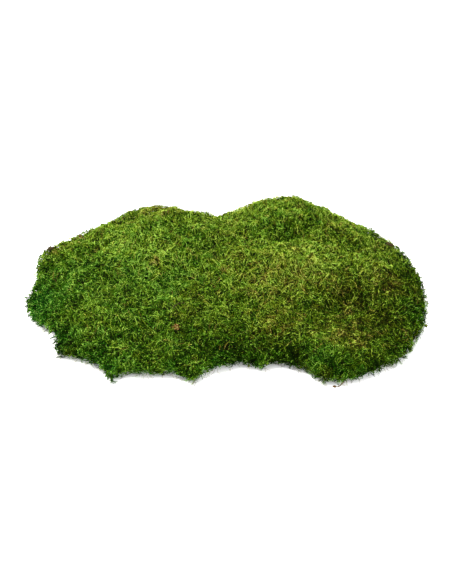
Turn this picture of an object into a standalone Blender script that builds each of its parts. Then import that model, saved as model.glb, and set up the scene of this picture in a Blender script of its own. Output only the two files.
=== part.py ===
"""Moss clump: two low joined mounds of sheet moss on a thin mat of soil, with some litter caught in it.

The model is worked out in millimetres and scaled to metres as each mesh is made. +X runs along the
clump, -Y is its front, +Z is up. The origin lies under the middle of the clump, at the level it rests on.
"""

import math

import bmesh
import bpy
import numpy as np
from mathutils import Matrix, Vector
from mathutils.bvhtree import BVHTree

MM = 0.001

# Edge of the moss seen from above, in mm, counter-clockwise from the right tip
RIGHT_EDGE = [(167, -12), (166, 12), (161, 34), (151, 55)]
BACK_EDGE = [(136, 72), (114, 86), (90, 103), (63, 112), (34, 108), (12, 98), (-8, 89), (-27, 97),
             (-50, 102), (-76, 102), (-98, 91), (-116, 79), (-136, 68)]
LEFT_EDGE = [(-153, 58), (-161, 38), (-160, 14), (-166, -10), (-156, -34), (-141, -47), (-136, -58),
             (-137, -69)]
FRONT_EDGE = [(-128, -76), (-110, -81), (-97, -92), (-90, -104), (-81, -98), (-63, -96), (-52, -98),
              (-43, -95), (-33, -102), (-22, -105), (-14, -93), (6, -87), (15, -84), (26, -91), (41, -85),
              (56, -90), (64, -90), (70, -102), (88, -105), (113, -98), (130, -86), (145, -76), (154, -62),
              (159, -49), (164, -38)]
RUFFLE = 1.1  # how far the small tufts stand in and out along the edge
RUFFLE_WAVES = (61, 83)  # small tufts in one turn round the edge
RUFFLE_SWELL = 7  # how often its strength comes and goes in one turn
CENTRE = np.array([0.0, -4.0])  # plan point that every ring of the moss shrinks towards

# Heights of the moss, in mm
FLAT_HEIGHT = 21.5  # away from every swell
RIM_HEIGHT = 6.0  # where the edge reaches furthest out
FOOT_HEIGHT = 0.6  # underside of the edge, just off the surface it lies on
FOOT_INSET = 3.0  # how far the foot of the edge tucks in under the rim
SIDE_FULLNESS = 2.6  # 2 rounds the sides like an ellipse, more makes them steeper

# Swells and hollows: middle x, middle y, height, half-width along X, half-width along Y, in mm
SWELLS = [
    (-64, 54, 29, 56, 48),  # left mound
    (64, 52, 33, 66, 54),  # right mound
    (59, 80, 8, 24, 24),  # its peak
    (22, 62, 9, 30, 30),  # shoulder towards the notch
    (-73, 10, 4, 14, 32),  # ridge down the left mound
    (-128, 14, 4, 38, 36),  # left end
    (130, 4, 4, 44, 40),  # right end
    (-100, -48, 5, 24, 18),
    (-58, -40, 5, 24, 20),
    (48, 0, 6, 46, 14),  # ledge across the right mound
    (50, 24, -3, 30, 10),  # dip above the ledge
    (97, -80, 6, 26, 16),  # front right swell
    (96, -38, -3, 26, 16),
    (-2, 30, -4, 14, 60),  # valley between the mounds
    (-146, 20, -3, 12, 12),
    (40, -12, 8, 70, 40),
]

# Tufts: wavelengths in mm, and their height as a share of the wavelength
TUFT_WAVES = (38, 32, 27, 24, 21, 18)
TUFT_STEEPNESS = 0.05
GOLDEN_ANGLE = math.radians(137.508)

# Soil mat under the moss, in mm
MAT_TOP = 7.0
MAT_SHOULDER = 3.0
MAT_INSET = 12.0  # from the moss edge, once its bays are smoothed away
MAT_SLOPE = 5.0  # how far the top edge lies inside the shoulder
GAP = 0.4  # clearance kept between touching pieces

# Cells along each side of the square grid that is stretched over the plan
GRID_CELLS = 50
RIM_CROWDING = 1.35  # above 1, the grid's rings crowd towards the edge
SMOOTHING = 34.0  # length of edge, in mm to either side, over which bays and points are averaged away
BAY_DEPTH = 5  # power of the reach: above 1, only the outer rings keep the bays of the edge

# Litter: place on the clump in mm, size in mm, turn about the surface's own normal in degrees
LEAF_FLAKE = {"place": (-40, -62), "size": (7.0, 4.6, 0.5), "curl": 0.9, "turn": -20}
BARK_LEFT = {"place": (-150, 43), "size": (9.5, 5.0, 2.4), "turn": 35}
BARK_RIGHT = {"place": (139, 38), "size": (10.0, 4.5, 2.4), "turn": -40}
DRY_TWIG = {"place": (-38, -44), "length": 16.0, "thickness": 1.1, "bow": 2.5, "turn": 50}
LITTER_CLEARANCE = 0.5  # height of a piece's lowest point over the moss


def clear_scene():
    for item in list(bpy.data.objects):
        bpy.data.objects.remove(item, do_unlink=True)


def make_material(name, color, roughness):
    material = bpy.data.materials.new(name)
    material.use_nodes = True
    shader = material.node_tree.nodes["Principled BSDF"]
    shader.inputs["Base Color"].default_value = (*color, 1.0)
    shader.inputs["Roughness"].default_value = roughness
    shader.inputs["Metallic"].default_value = 0.0
    return material


def make_object(name, points, faces, material):
    """An object whose mesh is given in millimetres."""
    mesh = bpy.data.meshes.new(name)
    mesh.from_pydata((np.asarray(points) * MM).tolist(), [], faces)
    split = bmesh.new()
    split.from_mesh(mesh)
    bmesh.ops.triangulate(split, faces=split.faces, quad_method="SHORT_EDGE")
    split.to_mesh(mesh)
    split.free()
    mesh.materials.append(material)
    mesh.shade_smooth()
    mesh.set_sharp_from_angle(angle=math.radians(60))
    item = bpy.data.objects.new(name, mesh)
    bpy.context.scene.collection.objects.link(item)
    return item


def closed_curve(points, count):
    """Equal steps along a smooth closed curve through the points (each stretch is a cubic)."""
    fine_steps = 40
    step = np.linspace(0, len(points), len(points) * fine_steps, endpoint=False)
    start = step.astype(int)
    part = (step - start)[:, None]
    before, here, after, beyond = (points[(start + k) % len(points)] for k in (-1, 0, 1, 2))
    curve = 0.5 * (2 * here + (after - before) * part
                   + (2 * before - 5 * here + 4 * after - beyond) * part**2
                   + (3 * here - before - 3 * after + beyond) * part**3)
    curve = np.vstack([curve, curve[:1]])
    travelled = np.append(0, np.cumsum(np.linalg.norm(np.diff(curve, axis=0), axis=1)))
    stops = np.linspace(0, travelled[-1], count, endpoint=False)
    return np.stack([np.interp(stops, travelled, curve[:, k]) for k in (0, 1)], axis=-1)


def moss_edge(count):
    """The edge in plan: the outline's curve, ruffled by small tufts and centred on the origin."""
    edge = closed_curve(np.array(RIGHT_EDGE + BACK_EDGE + LEFT_EDGE + FRONT_EDGE, float), count)
    turn = np.linspace(0, 2 * np.pi, count, endpoint=False)
    small, smaller = (np.sin(waves * turn + waves) for waves in RUFFLE_WAVES)
    ruffle = RUFFLE * (small + 0.7 * smaller) * np.sin(RUFFLE_SWELL * turn)
    away = edge - CENTRE
    edge = edge + away / np.linalg.norm(away, axis=1, keepdims=True) * ruffle[:, None]
    return edge - (edge.min(axis=0) + edge.max(axis=0)) / 2


def smoothed(edge):
    """The edge with its bays and points averaged away over a stretch to either side."""
    length = np.linalg.norm(np.roll(edge, -1, axis=0) - edge, axis=1).sum()
    reach = round(SMOOTHING / length * len(edge))
    return np.mean([np.roll(edge, k, axis=0) for k in range(-reach, reach + 1)], axis=0)


def roof_height(x, y):
    """Height of the moss away from its edge: a level, the swells, and tufts as crossed waves."""
    height = np.full_like(x, FLAT_HEIGHT)
    for middle_x, middle_y, rise, half_x, half_y in SWELLS:
        height += rise * np.exp(-((x - middle_x) / half_x)**2 - ((y - middle_y) / half_y)**2)
    for number, wave in enumerate(TUFT_WAVES):
        angle = number * GOLDEN_ANGLE
        along = x * np.cos(angle) + y * np.sin(angle)
        across = x * np.cos(angle + 1.2) + y * np.sin(angle + 1.2)
        height += (TUFT_STEEPNESS * wave * np.sin(2 * np.pi * along / wave + 1.7 * number)
                   * np.sin(2 * np.pi * across / (1.2 * wave) + 2.9 * number))
    return height


def square_rings(cells):
    """For each point of a square grid: its ring, 0 to 1, and its step along that ring, 0 to 8."""
    ticks = np.linspace(-1, 1, cells + 1)
    u, v = np.meshgrid(ticks, ticks, indexing="ij")
    ring = np.maximum(abs(u), abs(v))
    size = np.maximum(ring, 1e-9)
    sides = [(u >= ring - 1e-9), (v >= ring - 1e-9), (u <= 1e-9 - ring)]
    step = np.select(sides, [v / size, 2 - u / size, 4 - v / size], 6 + u / size) % 8
    return ring, step


def top_surface(edge):
    """The upper side of the moss as a square grid of points, its faces and its edge point numbers.

    Each square ring of the grid becomes a shrunken copy of the edge, smoother the further in it
    lies. The sides fall to the rim along a superellipse.
    """
    ring, step = square_rings(GRID_CELLS)
    stops = np.linspace(0, 8, len(edge) + 1)
    ragged, smooth = (np.vstack([line, line[:1]]) for line in (edge, smoothed(edge)))
    reach = 1 - (1 - ring)**RIM_CROWDING
    plan = []
    for axis in (0, 1):
        out_ragged, out_smooth = (np.interp(step, stops, line[:, axis]) for line in (ragged, smooth))
        out = out_smooth + (out_ragged - out_smooth) * reach**BAY_DEPTH
        plan.append(CENTRE[axis] + (out - CENTRE[axis]) * reach)
    x, y = plan
    side = np.maximum(1 - reach**SIDE_FULLNESS, 0)**(1 / SIDE_FULLNESS)
    z = RIM_HEIGHT + (roof_height(x, y) - RIM_HEIGHT) * side
    number = np.arange(x.size).reshape(x.shape)
    on_edge = ring > 1 - 1e-9
    edge_numbers = number[on_edge][np.argsort(step[on_edge], kind="stable")]
    quads = np.stack([number[:-1, :-1], number[1:, :-1], number[1:, 1:], number[:-1, 1:]], axis=-1)
    return np.stack([x, y, z], axis=-1).reshape(-1, 3), quads.reshape(-1, 4).tolist(), edge_numbers


def inset_ring(edge, inset, height):
    """The edge moved inwards by a fixed length, at one height."""
    away = edge - CENTRE
    length = np.linalg.norm(away, axis=1, keepdims=True)
    plan = CENTRE + away * (1 - inset / length)
    return np.column_stack([plan, np.full(len(edge), height)])


def band(lower, upper):
    """Faces between two rings of point numbers that run counter-clockwise, facing outwards."""
    following_lower = np.roll(lower, -1)
    following_upper = np.roll(upper, -1)
    return np.stack([lower, following_lower, following_upper, upper], axis=-1).tolist()


def stacked_rings(rings, first_number):
    """Points of all the rings, and each ring's point numbers."""
    count = len(rings[0])
    numbers = [first_number + k * count + np.arange(count) for k in range(len(rings))]
    return np.vstack(rings), numbers


def make_moss_cushion(edge, material):
    """Moss with its top, its rounded edge, and a recess below that fits over the soil mat."""
    top, faces, rim = top_surface(edge)
    outline = smoothed(edge)
    rings = [
        inset_ring(edge, FOOT_INSET, FOOT_HEIGHT),
        inset_ring(outline, MAT_INSET - 2 * GAP, FOOT_HEIGHT),
        inset_ring(outline, MAT_INSET - 2 * GAP, MAT_SHOULDER + GAP),
        inset_ring(outline, MAT_INSET + MAT_SLOPE - GAP, MAT_TOP + GAP),
    ]
    below, numbers = stacked_rings(rings, len(top))
    for lower, upper in zip(numbers, [rim] + numbers[:-1]):
        faces += band(lower, upper)
    faces.append(numbers[-1][::-1].tolist())
    return make_object("moss_cushion", np.vstack([top, below]), faces, material)


def make_soil_mat(edge, material):
    """Thin mat of soil and dead stems, flat below, with sloping edges."""
    outline = smoothed(edge)
    rings = [
        inset_ring(outline, MAT_INSET, 0.0),
        inset_ring(outline, MAT_INSET, MAT_SHOULDER),
        inset_ring(outline, MAT_INSET + MAT_SLOPE, MAT_TOP),
    ]
    points, numbers = stacked_rings(rings, 0)
    faces = [numbers[0][::-1].tolist(), numbers[-1].tolist()]
    for lower, upper in zip(numbers[:-1], numbers[1:]):
        faces += band(lower, upper)
    return make_object("soil_mat", points, faces, material)


def moss_below(surface, place):
    """The moss surface's point and normal straight below or above a place."""
    start = Vector((place[0], place[1], 1.0))
    point, normal, _, _ = surface.ray_cast(start, Vector((0, 0, -1)))
    return point, normal


def lay_on(item, surface, settings):
    """Turn a piece to lie along the moss at its place, and lift it until every point is clear."""
    point, normal = moss_below(surface, Vector((*settings["place"], 0)) * MM)
    tilt = Vector((0, 0, 1)).rotation_difference(normal).to_matrix().to_4x4()
    seat = Matrix.Translation(point) @ tilt @ Matrix.Rotation(math.radians(settings["turn"]), 4, "Z")
    corners = [seat @ vertex.co for vertex in item.data.vertices]
    lowest = min(corner.z - moss_below(surface, corner)[0].z for corner in corners)
    item.matrix_world = Matrix.Translation((0, 0, LITTER_CLEARANCE * MM - lowest)) @ seat


def sphere_points(rows, columns):
    """Points and faces of a ball of radius 1, from rows of latitude between two poles."""
    latitude = np.linspace(-np.pi / 2, np.pi / 2, rows + 2)[1:-1, None]
    longitude = np.linspace(0, 2 * np.pi, columns, endpoint=False)[None]
    body = np.stack([np.cos(latitude) * np.cos(longitude), np.cos(latitude) * np.sin(longitude),
                     np.sin(latitude) * np.ones_like(longitude)], axis=-1)
    points = np.vstack([[[0, 0, -1]], body.reshape(-1, 3), [[0, 0, 1]]])
    numbers = 1 + np.arange(rows * columns).reshape(rows, columns)
    faces = []
    for lower, upper in zip(numbers[:-1], numbers[1:]):
        faces += band(lower, upper)
    first, last, top = numbers[0], numbers[-1], len(points) - 1
    faces += [[0, int(b), int(a)] for a, b in zip(first, np.roll(first, -1))]
    faces += [[top, int(a), int(b)] for a, b in zip(last, np.roll(last, -1))]
    return points, faces


def make_leaf_flake(surface, material):
    """Torn scrap of dead leaf: a thin lens that curls up at its ends."""
    points, faces = sphere_points(rows=5, columns=12)
    length, width, thickness = LEAF_FLAKE["size"]
    x, y, z = points.T
    ragged = 1 + 0.14 * np.sin(3 * np.arctan2(y, x) + 0.5)
    shape = np.column_stack([x * ragged * length / 2, y * ragged * width / 2,
                             z * thickness / 2 + LEAF_FLAKE["curl"] * x**2])
    item = make_object("leaf_flake", shape, faces, material)
    lay_on(item, surface, LEAF_FLAKE)
    return item


def make_bark_chip(name, surface, settings, material):
    """Angular brown chip of bark: a flattened ball squared off at its sides, with uneven facets."""
    points, faces = sphere_points(rows=5, columns=10)
    x, y, z = points.T
    uneven = 1 + 0.14 * np.sin(4.1 * x + 1.3) + 0.12 * np.sin(5.3 * y - 2.2 * z + settings["turn"])
    squared = np.sign(points) * abs(points)**0.7
    shape = squared * uneven[:, None] * np.array(settings["size"]) / 2
    item = make_object(name, shape, faces, material)
    lay_on(item, surface, settings)
    return item


def make_dry_twig(surface, material):
    """Bent dead stem: a tapering round rod along a shallow arc."""
    sections, sides = 9, 8
    along = np.linspace(-1, 1, sections)[:, None] * np.ones(sides)
    around = np.linspace(0, 2 * np.pi, sides, endpoint=False)
    radius = DRY_TWIG["thickness"] / 2 * (0.8 - 0.35 * along)
    x = along * DRY_TWIG["length"] / 2
    y = DRY_TWIG["bow"] * (1 - along**2) + radius * np.cos(around)
    z = radius * np.sin(around)
    numbers = np.arange(sections * sides).reshape(sections, sides)
    faces = [numbers[0][::-1].tolist(), numbers[-1].tolist()]
    for lower, upper in zip(numbers[:-1], numbers[1:]):
        faces += band(lower, upper)
    item = make_object("dry_twig", np.stack([x, y, z], axis=-1).reshape(-1, 3), faces, material)
    lay_on(item, surface, DRY_TWIG)
    return item


def build():
    clear_scene()
    moss = make_material("moss", (0.095, 0.150, 0.018), 0.85)
    soil = make_material("soil", (0.040, 0.025, 0.014), 0.95)
    leaf = make_material("dead leaf", (0.42, 0.24, 0.12), 0.75)
    bark = make_material("bark", (0.055, 0.032, 0.018), 0.9)
    edge = moss_edge(4 * GRID_CELLS)
    cushion = make_moss_cushion(edge, moss)
    make_soil_mat(edge, soil)
    surface = BVHTree.FromObject(cushion, bpy.context.evaluated_depsgraph_get())
    make_leaf_flake(surface, leaf)
    make_dry_twig(surface, bark)
    make_bark_chip("bark_chip_left", surface, BARK_LEFT, bark)
    make_bark_chip("bark_chip_right", surface, BARK_RIGHT, bark)


build()
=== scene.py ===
import math

import bpy
import mathutils
import numpy as np
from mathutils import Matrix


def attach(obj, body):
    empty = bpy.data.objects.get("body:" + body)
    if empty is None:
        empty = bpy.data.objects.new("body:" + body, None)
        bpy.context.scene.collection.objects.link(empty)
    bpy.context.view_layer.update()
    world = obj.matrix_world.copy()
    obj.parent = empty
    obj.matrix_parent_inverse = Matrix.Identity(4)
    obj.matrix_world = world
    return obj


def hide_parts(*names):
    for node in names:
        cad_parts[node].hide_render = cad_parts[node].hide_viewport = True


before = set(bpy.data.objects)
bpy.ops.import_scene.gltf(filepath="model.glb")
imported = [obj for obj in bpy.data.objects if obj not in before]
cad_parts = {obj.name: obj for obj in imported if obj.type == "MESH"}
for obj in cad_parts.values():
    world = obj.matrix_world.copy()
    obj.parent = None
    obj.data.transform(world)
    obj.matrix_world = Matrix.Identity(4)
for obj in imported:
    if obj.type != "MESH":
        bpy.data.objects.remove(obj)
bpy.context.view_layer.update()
print("frame loaded:", sorted(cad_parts))

mm = 0.001
upward = np.array([0.0, 0.0, 1.0])


# Camera and light

cameraSet = {
    "lens": 85.0,
    "distance": 1.13,
    "lookAt": (0.0, -0.0192, 0.02),
    "elevation": 40.0,  # degrees above the ground
}
lightSet = {
    "sky": 1.36,
    "skyColour": (0.985, 0.99, 1.0),
    "key": {"place": (-0.50, 0.42, 1.35), "size": 1.10, "power": 122.0, "colour": (1.0, 0.98, 0.93)},
    "fill": {"place": (0.80, -0.95, 0.80), "size": 1.40, "power": 13.0, "colour": (0.96, 0.98, 1.0)},
    "floorSize": 6.0,
    "floorDrop": 0.3 * mm,
    "floorColour": (0.96, 0.96, 0.955),
}


def setCamera(wanted):
    # place = lookAt + distance * (0, -cos elevation, sin elevation), turned up from straight down by 90 - elevation
    rise = math.radians(wanted["elevation"])
    data = bpy.data.cameras.new("camera")
    data.lens = wanted["lens"]
    data.clip_start = 0.01
    camera = bpy.data.objects.new("camera", data)
    away = np.array([0.0, -math.cos(rise), math.sin(rise)]) * wanted["distance"]
    camera.location = np.array(wanted["lookAt"]) + away
    camera.rotation_euler = (math.pi / 2 - rise, 0.0, 0.0)
    bpy.context.scene.collection.objects.link(camera)
    bpy.context.scene.camera = camera


def softLamp(name, wanted):
    # a square area lamp that faces the middle of the floor
    data = bpy.data.lights.new(name, "AREA")
    data.size = wanted["size"]
    data.energy = wanted["power"]
    data.color = wanted["colour"]
    lamp = bpy.data.objects.new(name, data)
    lamp.location = wanted["place"]
    x, y, z = wanted["place"]
    lamp.rotation_euler = (math.atan2(math.hypot(x, y), z), 0.0, math.atan2(x, -y))
    bpy.context.scene.collection.objects.link(lamp)


# Mesh, paint and number helpers

def fromScreen(red, green, blue):
    # linear colour of a colour given as 0 to 255 on a screen: ((c / 255 + 0.055) / 1.055) to the power 2.4
    return tuple(((c / 255 + 0.055) / 1.055) ** 2.4 for c in (red, green, blue)) + (1.0,)


def unit(vectors):
    # vectors divided by their length
    return vectors / np.maximum(np.linalg.norm(vectors, axis=-1, keepdims=True), 1e-12)


def easeBetween(low, high, values):
    # 3 t t - 2 t t t of t, which runs from 0 at low to 1 at high
    t = np.clip((values - low) / (high - low), 0, 1)
    return t * t * (3 - 2 * t)


def ripple(x, y, wavelength, seed, waves=9):
    # mean of plane waves in random directions, each near the wavelength, scaled to a spread of about 1
    draw = np.random.default_rng(seed)
    total = 0.0
    for turn, stretch, phase in draw.uniform((0, 0.72, 0), (math.tau, 1.38, math.tau), (waves, 3)):
        number = math.tau / (wavelength * stretch)
        total = total + np.sin(number * (x * math.cos(turn) + y * math.sin(turn)) + phase)
    return total * math.sqrt(2 / waves)


def putMesh(name, points, faces, finish, stands=(), uvs=None, smooth=True):
    # points (n, 3), triangles (m, 3) and, for the map named OFBake, uvs (m, 3, 2)
    mesh = bpy.data.meshes.new(name)
    mesh.vertices.add(len(points))
    mesh.vertices.foreach_set("co", np.ascontiguousarray(points, np.float32).ravel())
    mesh.loops.add(faces.size)
    mesh.loops.foreach_set("vertex_index", np.ascontiguousarray(faces, np.int32).ravel())
    mesh.polygons.add(len(faces))
    mesh.polygons.foreach_set("loop_start", np.arange(0, faces.size, 3, dtype=np.int32))
    mesh.polygons.foreach_set("use_smooth", np.full(len(faces), smooth))
    if uvs is not None:
        layer = mesh.uv_layers.new(name="OFBake")
        layer.uv.foreach_set("vector", np.ascontiguousarray(uvs, np.float32).ravel())
    mesh.update(calc_edges=True)
    mesh.materials.append(finish)
    piece = bpy.data.objects.new(name, mesh)
    bpy.context.scene.collection.objects.link(piece)
    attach(piece, "root")
    if stands:
        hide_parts(*stands)
    print(name, len(points), "points,", len(faces), "triangles")
    return piece


class Signal:
    # a socket that a node gives out: arithmetic on it adds Math nodes

    def __init__(self, paint, socket):
        self.paint = paint
        self.socket = socket

    def maths(self, operation, *others):
        values = {number: value for number, value in enumerate((self, *others))}
        return self.paint.add("ShaderNodeMath", {"operation": operation}, values)

    def flipped(self, operation, other):
        return self.paint.add("ShaderNodeMath", {"operation": operation}, {0: other, 1: self})

    def __add__(self, other):
        return self.maths("ADD", other)

    def __sub__(self, other):
        return self.maths("SUBTRACT", other)

    def __rsub__(self, other):
        return self.flipped("SUBTRACT", other)

    def __mul__(self, other):
        return self.maths("MULTIPLY", other)

    def __truediv__(self, other):
        return self.maths("DIVIDE", other)

    def __rtruediv__(self, other):
        return self.flipped("DIVIDE", other)

    def __pow__(self, other):
        return self.maths("POWER", other)

    __radd__ = __add__
    __rmul__ = __mul__

    def floor(self):
        return self.maths("FLOOR")

    def size(self):
        return self.maths("ABSOLUTE")

    def between(self, low, high):  # 0 below low, 1 above high, smooth between
        settings = {"interpolation_type": "SMOOTHSTEP"}
        return self.paint.add("ShaderNodeMapRange", settings, {"Value": self, "From Min": low, "From Max": high})

    def other(self, name):  # another socket of the same node
        return Signal(self.paint, self.socket.node.outputs[name])


class Paint:
    # a material with one Principled shader, built up by add()

    def __init__(self, name, **even):
        self.material = bpy.data.materials.new(name)
        self.material.use_nodes = True
        self.tree = self.material.node_tree
        self.shader = self.tree.nodes["Principled BSDF"]
        for socket, value in even.items():
            self.shader.inputs[socket.replace("_", " ")].default_value = value

    def give(self, socket, value):
        if isinstance(value, Signal):
            self.tree.links.new(value.socket, socket)
        else:
            socket.default_value = value

    def add(self, kind, settings=None, sockets=None, out=0):
        node = self.tree.nodes.new(kind)
        for name, value in (settings or {}).items():
            if name == "stops":
                ramp = node.color_ramp.elements
                while len(ramp) < len(value):
                    ramp.new(0.5)
                for stop, (position, colour) in zip(ramp, value):
                    stop.position, stop.color = position, colour
            else:
                setattr(node, name, value)
        for name, value in (sockets or {}).items():
            self.give(node.inputs[name], value)
        return Signal(self, node.outputs[out])

    def blend(self, factor, first, second, way="MIX"):
        # colours go through a Mix node: first where factor is 0, second where it is 1
        node = self.tree.nodes.new("ShaderNodeMix")
        node.data_type = "RGBA"
        node.blend_type = way
        for number, value in ((0, factor), (6, first), (7, second)):
            self.give(node.inputs[number], value)
        return Signal(self, node.outputs[2])

    def ramp(self, factor, stops):
        return self.add("ShaderNodeValToRGB", {"stops": stops}, {"Fac": factor})

    def place(self):
        return self.add("ShaderNodeTexCoord", out="Object")

    def noise(self, vector, scale, detail=3.0, roughness=0.55, warp=0.0):
        sockets = {"Vector": vector, "Scale": scale, "Detail": detail, "Roughness": roughness, "Distortion": warp}
        return self.add("ShaderNodeTexNoise", None, sockets)

    def cells(self, vector, scale, feature="F1", out="Distance"):
        return self.add("ShaderNodeTexVoronoi", {"feature": feature}, {"Vector": vector, "Scale": scale}, out)

    def stretched(self, vector, scale, turn=(0.0, 0.0, 0.0)):
        return self.add("ShaderNodeMapping", None, {"Vector": vector, "Scale": scale, "Rotation": turn})

    def bump(self, height, strength, distance):
        return self.add("ShaderNodeBump", None, {"Height": height, "Strength": strength, "Distance": distance})

    def finish(self, colour, roughness, normal=None):
        self.give(self.shader.inputs["Base Color"], colour)
        self.give(self.shader.inputs["Roughness"], roughness)
        if normal is not None:
            self.give(self.shader.inputs["Normal"], normal)
        return self.material


# The CAD cushion as arrays, and maps of its roof and edge

roofSet = {
    "step": 1.0 * mm,  # side of one cell of the maps
    "corner": (-0.190, -0.130),
    "cells": (380, 260),
    "samples": 1600000,
}


def nodeArrays(name):
    # the node's points, with those at the same place made one, and its triangles
    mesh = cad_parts[name].data
    mesh.calc_loop_triangles()
    points = np.empty(len(mesh.vertices) * 3)
    mesh.vertices.foreach_get("co", points)
    corners = np.empty(len(mesh.loop_triangles) * 3, np.int32)
    mesh.loop_triangles.foreach_get("vertices", corners)
    merged, number = np.unique(np.round(points.reshape(-1, 3), 6), axis=0, return_inverse=True)
    return merged, number.ravel()[corners].reshape(-1, 3)


def softNormals(points, faces, rounds):
    # each triangle's cross product is added to its points, then each point takes the mean of its neighbours, round by round
    a, b, c = (points[faces[:, k]] for k in range(3))
    across = np.cross(b - a, c - a)
    normals = np.zeros_like(points)
    for k in range(3):
        np.add.at(normals, faces[:, k], across)
    normals = unit(normals)
    starts, ends = faces.ravel(), faces[:, [1, 2, 0]].ravel()
    for _ in range(rounds):
        total = normals.copy()
        np.add.at(total, starts, normals[ends])
        np.add.at(total, ends, normals[starts])
        normals = unit(total)
    return normals


def scatter(points, faces, normals, count, draw):
    # points at random on the surface, by area: (1 - root u) a + root u (1 - v) b + root u v c, with the normal alike
    a, b, c = (points[faces[:, k]] for k in range(3))
    area = np.linalg.norm(np.cross(b - a, c - a), axis=1)
    chosen = faces[np.searchsorted(np.cumsum(area) / area.sum(), draw.random(count)).clip(0, len(faces) - 1)]
    root, v = np.sqrt(draw.random(count)), draw.random(count)
    shares = np.stack([1 - root, root * (1 - v), root * v], 1)[:, :, None]
    return (points[chosen] * shares).sum(1), unit((normals[chosen] * shares).sum(1))


def mapCells(x, y):
    # position on the maps in cells, with the middle of a cell on a whole number
    return [(value - low) / roofSet["step"] - 0.5 for value, low in zip((x, y), roofSet["corner"])]


def readMap(grid, x, y):
    # value between the middles of four cells, each weighted by its nearness along x and along y
    places = [np.clip(p, 0, n - 1.001) for p, n in zip(mapCells(x, y), grid.shape)]
    (i, j), (s, t) = [p.astype(int) for p in places], [p - np.floor(p) for p in places]
    low = grid[i, j] * (1 - s) + grid[i + 1, j] * s
    high = grid[i, j + 1] * (1 - s) + grid[i + 1, j + 1] * s
    return low * (1 - t) + high * t


def roofMaps(points, faces, draw):
    # roof: highest surface point over each cell. inward: distance to the edge, positive on the moss
    spots, _ = scatter(points, faces, points, roofSet["samples"], draw)
    shape = roofSet["cells"]
    i, j = [np.round(p).astype(int) for p in mapCells(spots[:, 0], spots[:, 1])]
    roof = np.zeros(shape)
    np.maximum.at(roof, (i, j), spots[:, 2])
    under = roof > 0
    rim = under & ~(np.roll(under, 1, 0) & np.roll(under, -1, 0) & np.roll(under, 1, 1) & np.roll(under, -1, 1))
    edge = np.argwhere(rim)
    rows = np.arange(shape[1])
    inward = np.empty(shape)
    for i in range(shape[0]):
        apart = (edge[:, 0] - i)[:, None] ** 2 + (edge[:, 1][:, None] - rows) ** 2
        inward[i] = np.sqrt(apart.min(0))
    return roof, np.where(under, inward + 0.5, 0.5 - inward) * roofSet["step"]


draw = np.random.default_rng(7)
cushionPoints, cushionFaces = nodeArrays("moss_cushion")
cushionNormals = softNormals(cushionPoints, cushionFaces, 5)
roofMap, inwardMap = roofMaps(cushionPoints, cushionFaces, draw)
print("roof and edge mapped, highest", round(float(roofMap.max()) / mm, 1), "mm")


# Knobs and notches of this clump, as x, y and radius in mm and a step in mm: out for the edge and up for the crest

edgeKnobs = [
    (-158, 0, 6, -3.0), (-144, 54, 4, -1.5), (-168, -16, 6, 4.5), (-150, -54, 8, 5.5), (-136, -84, 5, 4.5),
    (-139, -70, 5, 3.5), (-129, -64, 5, -2.5), (-84, -104, 4, -2.0), (21, -90, 4, -3.5), (33, -95, 4, 2.5),
    (64, -98, 4, -3.5), (76, -108, 3, 2.0), (82, -109, 3, -3.0), (89, -111, 4, 2.0), (119, -100, 9, 2.0),
    (133, -88, 4, -2.5), (146, -78, 7, -5.0), (152, -60, 8, -6.0), (158, -38, 7, -4.0), (163, -7, 8, 4.0),
    (162, 18, 12, 2.0),
]
crestKnobs = [
    (-110, 43, 6, -4.0), (-89, 58, 5, -3.6), (-74, 71, 9, 4.2), (-56, 72, 9, 2.8), (-44, 66, 6, 2.8),
    (-32, 61, 5, 1.4), (-16, 64, 8, 1.6), (58, 74, 14, 1.2), (88, 54, 7, -3.6), (126, 50, 6, -3.2),
    (137, 48, 5, 2.2), (146, 44, 4, -1.6), (153, 36, 6, 1.8), (-150, 44, 6, 2.0), (52, 24, 9, -1.4),
    (-40, -63, 6, 1.6), (-57, 1, 5, 1.2),
]


def knobs(table, x, y):
    # the sum of step * exp(-(distance / radius) squared)
    total = 0.0 * x
    for px, py, radius, step in table:
        total = total + step * mm * np.exp(-((x - px * mm) ** 2 + (y - py * mm) ** 2) / (radius * mm) ** 2)
    return total


gridX, gridY = np.meshgrid(*[(np.arange(n) + 0.5) * roofSet["step"] + low
                             for n, low in zip(roofSet["cells"], roofSet["corner"])], indexing="ij")
plainInward = inwardMap
inwardMap = inwardMap + knobs(edgeKnobs, gridX, gridY)
inwardMap = inwardMap + 0.7 * mm * ripple(gridX, gridY, 8 * mm, 11) + 0.6 * mm * ripple(gridX, gridY, 14 * mm, 12)
coveredInward = np.minimum(plainInward, inwardMap)  # for what must stay under the shoots
inwardSlopeX, inwardSlopeY = np.gradient(inwardMap, roofSet["step"])


# Colours of the moss: a hue from cool green (0) to brown (1) and a shade, both by place on the clump. The shade
# carries painted light and shade as well as the moss's own tone

leafAtlas = {
    "hues": 16,  # columns of the leaf map, one hue each
    "shades": 16,  # rows, from the darkest to the lightest
    "darkest": 0.012,
    "lightest": 1.46,
    "contrast": 1.88,  # power of the row's share
    "deep": (0.42, 0.94, 0.08, 1.0),  # painted shade colour: what the darkest rows keep of red, green and blue
    "pale": fromScreen(190, 206, 114),  # painted highlight colour: what the lightest rows turn towards
    "stops": [
        (0.00, fromScreen(34, 120, 12)),
        (0.20, fromScreen(62, 132, 12)),
        (0.42, fromScreen(98, 145, 16)),
        (0.56, fromScreen(124, 156, 20)),
        (0.70, fromScreen(122, 132, 22)),
        (0.82, fromScreen(156, 130, 56)),
        (0.92, fromScreen(104, 70, 30)),
        (1.00, fromScreen(58, 36, 18)),
    ],
}
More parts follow.
